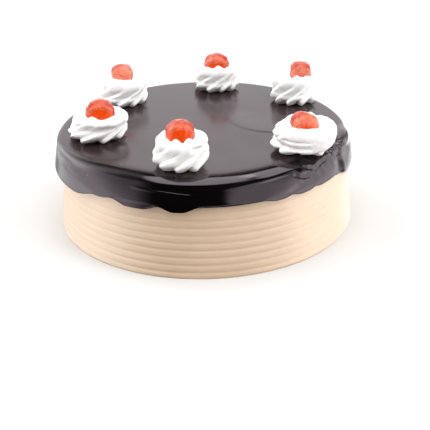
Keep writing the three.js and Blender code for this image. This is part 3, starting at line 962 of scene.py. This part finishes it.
def swirl_points(swirl, cherry, sizes, seed):
    """Grid of a piped swirl from the middle of its foot over its rim to the cherry's seat."""
    draw = np.random.default_rng(seed)
    ridges = swirl["ridges"]
    angle = np.arange(ridges * SWIRL_PER_RIDGE) * 360.0 / (ridges * SWIRL_PER_RIDGE)
    way = np.radians(angle)
    phase = angle * ridges / 360.0
    for count in RIDGE_WANDER_WAVES:
        size = draw.uniform(*RIDGE_WANDER) / count
        phase = phase + size * np.sin(count * way + draw.uniform(*RIDGE_WANDER_STARTS))
    heights = draw.uniform(*RIDGE_HEIGHTS, ridges)
    relief = ridge_relief(phase, heights, swirl["puff"])
    waist_at, waist_wide, waist_deep = SWIRL_WAIST
    rows = []
    for out, up, ridge, lean, peak, lift in curve_through(SWIRL_ROWS, SWIRL_PER_ROW):
        turned = angle + swirl["start"] + swirl["twist"] * mixed(up, ease(*TWIST_SPAN, up), RIDGE_BEND)
        crest = relief * mixed(1.0, swirl["crown"], ease(*CROWN_SPAN, up))
        fill = 0.0
        for side, half, soft, share in swirl["calm"]:
            plain = share * hump(turn_from(turned, side), half, soft) * ease(*CALM_SPAN, up)
            crest = crest * (1.0 - plain)
            fill = fill + waist_deep * bell(up - waist_at, waist_wide) * plain
        turned = turned - RIDGE_OVERHANG * crest * min(ridge / RIDGE_FULL, 1.0)
        tilt = np.cos(np.radians(turned - swirl["tip"]))
        reach = out * mixed(1.0, swirl["full"], up) + ridge * sizes.ridge_depth * crest + fill
        for at, wide, side, half, deep in swirl["folds"]:
            along = hump(turn_from(turned, side), half, half + SWIRL_FOLD_SOFT)
            reach = reach - deep * bell(up - at, wide) * along
        side, half, count, deep = swirl["teeth"]
        line = abs(math.sin(math.pi * count * up)) - TEETH_MEAN
        along = hump(turn_from(turned, side), half, TEETH_SOFT)
        reach = reach + deep * line * (ridge > TEETH_FROM) * along
        rise = up + lean * tilt + peak * crest + lift * (LIFT_MEAN - crest) * (ridge > 0)
        height = swirl["height"] * rise
        for side, half, brim in swirl["brims"]:
            height = height + brim * peak / RIM_PEAK * hump(turn_from(turned, side), 0.0, 2.0 * half)
        row = turned_points(np.maximum(swirl["radius"] * reach, 0.0), turned, height)
        row[:, 0] += mixed(*swirl["shift"], ease(*SHIFT_SPAN, up))
        rows.append(row)
    points = np.array(rows)
    size, lengths, span = CREAM_UNEVEN
    uneven = size * waves(points, lengths, seed + 1) * ease(*span, points[..., 2])
    points = points + grid_normals(points) * uneven[..., None]
    points[..., 2] = np.maximum(points[..., 2], 0.0)
    return press_cherry(points, cherry)


class CakeSizes(bpy.types.PropertyGroup):
    """Sizes of the cake that a user may change."""

    base_radius: FloatProperty(
        name="Base radius", description="Radius of the cake body at its foot",
        default=0.1, min=0.05, max=0.2, unit="LENGTH", subtype="DISTANCE",
    )
    side_taper: FloatProperty(
        name="Side taper", description="How much the radius shrinks for each unit of height",
        default=0.082, min=0.0, max=0.3,
    )
    groove_depth: FloatProperty(
        name="Comb groove depth", description="Depth of the grooves in the combed side",
        default=0.00032, min=0.0, max=0.004, unit="LENGTH", subtype="DISTANCE",
    )
    ridge_depth: FloatProperty(
        name="Ridge depth", description="Depth of the swirls' ridges, where 1 is as piped",
        default=1.0, min=0.0, max=1.5, subtype="FACTOR",
    )


def colour_property(name, description, default):
    return FloatVectorProperty(
        name=name, description=description, default=default, min=0.0, max=1.0, size=3, subtype="COLOR"
    )


class CakeColours(bpy.types.PropertyGroup):
    """Colours of the cake that a user may change."""

    cream_colour: colour_property(
        "Coffee cream", "Combed cream of the side", (0.76, 0.565, 0.4)
    )
    cream_deep_colour: colour_property(
        "Deep coffee cream", "Darker streaks of the side", (0.7, 0.515, 0.355)
    )
    glaze_colour: colour_property(
        "Glaze", "Poured chocolate glaze", (0.0012, 0.0007, 0.0008)
    )
    # Lighter warm brown painted on the flat top of the glaze as a lighter reflection.
    glaze_top_reflection_colour: colour_property(
        "Warm glaze", "Duller flat top of the glaze", (0.03, 0.017, 0.018)
    )
    whipped_colour: colour_property(
        "Whipped cream", "Piped swirls", (0.89, 0.872, 0.868)
    )
    whipped_shade_colour: colour_property(
        "Whipped cream shade", "Duller places of the swirls", (0.82, 0.797, 0.795)
    )
    cherry_colour: colour_property(
        "Cherry", "Orange core of the candied cherries", (0.72, 0.064, 0.001)
    )
    # Coral flesh round the core, which is partly painted rim sheen.
    cherry_coral_and_sheen_colour: colour_property(
        "Coral cherry", "Flesh round the core of the cherries", (0.62, 0.145, 0.075)
    )
    cherry_light_colour: colour_property(
        "Light cherry", "Flesh of the paler cherries", (0.76, 0.25, 0.165)
    )
    # Colour of the real seams in the flesh, also used for the painted shade at the outline and round the
    # core.
    cherry_seam_and_shade_colour: colour_property(
        "Cherry seams", "Dark lines in the flesh of the cherries", (0.36, 0.03, 0.012)
    )
    # Painted sheen on the cherries' tops, where they reflect the sky.
    cherry_top_sheen_colour: colour_property(
        "Pale cherry", "Paler tops of the candied cherries", (0.54, 0.13, 0.09)
    )
    floor_colour: colour_property(
        "Floor", "Pale floor under the cake", (0.68, 0.678, 0.675)
    )
    bounce_colour: colour_property(
        "Bounce", "Light that the floor throws up at the cake", (0.42, 0.4, 0.38)
    )


class CAKE_OT_comb_body(bpy.types.Operator):
    """Make the cake body with its combed cream side"""

    bl_idname = "cake.comb_body"
    bl_label = "Comb the body"

    def execute(self, context):
        scene = context.scene
        piece = skin("cake_body_combed", body_points(scene.cake_sizes))
        serve(piece, coffee_cream_finish(scene.cake_colours), "cake_body")
        return {"FINISHED"}


class CAKE_OT_pour_glaze(bpy.types.Operator):
    """Make the poured chocolate glaze with its drips"""

    bl_idname = "cake.pour_glaze"
    bl_label = "Pour the glaze"

    def execute(self, context):
        scene = context.scene
        piece = skin("glaze_poured", glaze_points(scene.cake_sizes))
        serve(piece, chocolate_glaze_finish(scene.cake_colours), "chocolate_glaze")
        return {"FINISHED"}


class CAKE_OT_pipe_swirls(bpy.types.Operator):
    """Make the six piped swirls of whipped cream"""

    bl_idname = "cake.pipe_swirls"
    bl_label = "Pipe the swirls"

    def execute(self, context):
        scene = context.scene
        finish = whipped_cream_finish(scene.cake_colours)
        for number, (place, swirl) in enumerate(SWIRLS.items()):
            points = swirl_points(swirl, CHERRIES[place], scene.cake_sizes, SEED + 10 * number)
            piece = skin(f"swirl_{place}", points + (swirl["x"], swirl["y"], GLAZE_TOP + FIT_GAP))
            serve(piece, finish, f"rosette_{place}")
        return {"FINISHED"}


class CAKE_OT_set_cherries(bpy.types.Operator):
    """Make the six candied cherries"""

    bl_idname = "cake.set_cherries"
    bl_label = "Set the cherries"

    def execute(self, context):
        finish = candied_cherry_finish(context.scene.cake_colours)
        for number, (place, cherry) in enumerate(CHERRIES.items()):
            swirl = SWIRLS[place]
            points = cherry_points(cherry, SEED + 100 + number)
            piece = skin(f"fruit_{place}", points + (swirl["x"], swirl["y"], GLAZE_TOP + FIT_GAP))
            piece.visible_diffuse = False
            piece.color = (1.0, 1.0, 1.0, cherry["core"])
            serve(piece, finish, f"cherry_{place}")
        return {"FINISHED"}


# Soft lights of the studio: direction, half-angle of the full light and of its edge, brightness; one of
# them is a dark card, which takes light away
STUDIO_LIGHTS = [
    ((-1.0, 0.18, 0.14), 33.0, 61.0, 2.5),
    ((1.0, 0.04, 0.2), 35.0, 51.0, 2.4),
    ((0.0, 1.0, 0.2), 20.0, 25.0, 1.02),
    ((-0.02, 0.407, 0.914), 14.0, 17.0, 2.8),
    ((-0.55, 0.6, 0.55), 15.0, 25.0, 1.7),
    ((-0.27, 0.83, 0.48), 4.0, 9.5, 0.95),
    ((0.33, 0.52, 0.79), 9.0, 13.0, 2.6),
    ((0.46, -0.12, 0.88), 14.0, 20.0, 1.3),
    ((-0.8925, 0.157, -0.4226), 8.0, 34.0, 0.42),
    ((0.786, -0.491, -0.375), 26.0, 50.0, 0.5),
    ((0.0, 0.9, -0.43), 40.0, 60.0, 0.35),
    ((-0.25, 0.87, -0.43), 18.0, 34.0, 0.5),
    ((0.33, 0.84, -0.43), 18.0, 34.0, 1.9),
    ((-0.72, 0.54, -0.43), 12.0, 34.0, -0.8),
    ((0.37, 0.84, 0.39), 5.0, 13.0, 1.0),
]
STUDIO_BASE = 0.02
WHITE = (1.0, 1.0, 1.0, 1.0)
# Soft boxes that light the cake without showing in its gloss: place, size, power
SOFT_BOXES = {
    "top_box": ((0.0, -0.4, 0.95), 0.9, 6.2),
    "right_box": ((0.9, -0.6, 0.3), 0.6, 2.3),
    "left_box": ((-0.9, -0.2, 0.3), 0.6, 0.8),
}
# Reach of the floor to each side, and how far below it a card lies that throws light up at the cake
FLOOR_REACH = 8.0
CARD_DROP = 0.0002


def light_studio(world):
    """A world of soft lights at the sides, above and behind, dark towards the camera."""
    nodes = Nodes(world.node_tree)
    way = nodes.add("ShaderNodeTexCoord", output="Generated")
    total = STUDIO_BASE
    for axis, full, edge, bright in STUDIO_LIGHTS:
        axis = np.array(axis) / np.linalg.norm(axis)
        facing = nodes.add(
            "ShaderNodeVectorMath", {"operation": "DOT_PRODUCT"}, {0: way, 1: tuple(axis)}, output="Value"
        )
        outer, inner = math.cos(math.radians(edge)), math.cos(math.radians(full))
        total = total + nodes.range(facing, outer, inner, 0.0, bright)
    background = nodes.add("ShaderNodeBackground", None, {"Color": WHITE, "Strength": total})
    nodes.add("ShaderNodeOutputWorld", None, {"Surface": background})


def stage_sheet(name, height, material):
    """A level square sheet of the stage."""
    corners = [(-1, -1), (1, -1), (1, 1), (-1, 1)]
    mesh = bpy.data.meshes.new(name)
    mesh.from_pydata([(FLOOR_REACH * x, FLOOR_REACH * y, height) for x, y in corners], [], [(0, 1, 2, 3)])
    mesh.materials.append(material)
    sheet = bpy.data.objects.new(name, mesh)
    bpy.context.scene.collection.objects.link(sheet)
    return sheet


def hang_soft_box(name, place, size, power):
    """A round lamp that faces the cake and shows neither to the camera nor in the gloss."""
    lamp = bpy.data.lights.new(name, "AREA")
    lamp.shape = "DISK"
    lamp.size = size
    lamp.energy = power
    soft_box = bpy.data.objects.new(name, lamp)
    soft_box.location = place
    soft_box.rotation_euler = Vector(place).to_track_quat("Z", "Y").to_euler()
    soft_box.visible_glossy = False
    soft_box.visible_camera = False
    bpy.context.scene.collection.objects.link(soft_box)


class CAKE_OT_set_stage(bpy.types.Operator):
    """Set the floor, the studio light and the camera"""

    bl_idname = "cake.set_stage"
    bl_label = "Set the stage"

    def execute(self, context):
        scene = context.scene
        colours = scene.cake_colours
        floor = stage_sheet("floor", 0.0, floor_finish("pale_floor", colours.floor_colour))
        floor.visible_glossy = False
        floor.visible_diffuse = False
        floor.visible_shadow = False
        card = stage_sheet("bounce_card", -CARD_DROP, floor_finish("bounce_card", colours.bounce_colour))
        card.visible_camera = False
        card.visible_glossy = False
        world = bpy.data.worlds.new("studio")
        world.use_nodes = True
        scene.world = world
        light_studio(world)
        for name, (place, size, power) in SOFT_BOXES.items():
            hang_soft_box(name, place, size, power)
        lens = bpy.data.cameras.new("camera")
        lens.lens = CAMERA_LENS
        lens.sensor_width = CAMERA_SENSOR
        camera = bpy.data.objects.new("camera", lens)
        turn = Matrix([CAMERA_RIGHT, CAMERA_UP, [-part for part in CAMERA_FORWARD]]).transposed()
        camera.matrix_world = Matrix.Translation(CAMERA_PLACE) @ turn.to_4x4()
        scene.collection.objects.link(camera)
        scene.camera = camera
        scene.view_settings.view_transform = "Standard"
        return {"FINISHED"}


class CAKE_PT_bakery(bpy.types.Panel):
    """Sizes, colours and makers of the cake"""

    bl_label = "Cake"
    bl_idname = "CAKE_PT_bakery"
    bl_space_type = "VIEW_3D"
    bl_region_type = "UI"
    bl_category = "Cake"

    def draw(self, context):
        for group in (context.scene.cake_sizes, context.scene.cake_colours):
            for name in group.__annotations__:
                self.layout.prop(group, name)
        for operator in MAKERS:
            self.layout.operator(operator.bl_idname)


MAKERS = (
    CAKE_OT_comb_body,
    CAKE_OT_pour_glaze,
    CAKE_OT_pipe_swirls,
    CAKE_OT_set_cherries,
    CAKE_OT_set_stage,
)
CLASSES = (CakeSizes, CakeColours) + MAKERS + (CAKE_PT_bakery,)


def register():
    for kind in CLASSES:
        bpy.utils.register_class(kind)
    bpy.types.Scene.cake_sizes = PointerProperty(type=CakeSizes)
    bpy.types.Scene.cake_colours = PointerProperty(type=CakeColours)


def unregister():
    del bpy.types.Scene.cake_colours
    del bpy.types.Scene.cake_sizes
    for kind in reversed(CLASSES):
        bpy.utils.unregister_class(kind)


def main():
    register()
    bpy.ops.cake.comb_body()
    bpy.ops.cake.pour_glaze()
    bpy.ops.cake.pipe_swirls()
    bpy.ops.cake.set_cherries()
    bpy.ops.cake.set_stage()


if __name__ == "__main__":
    main()
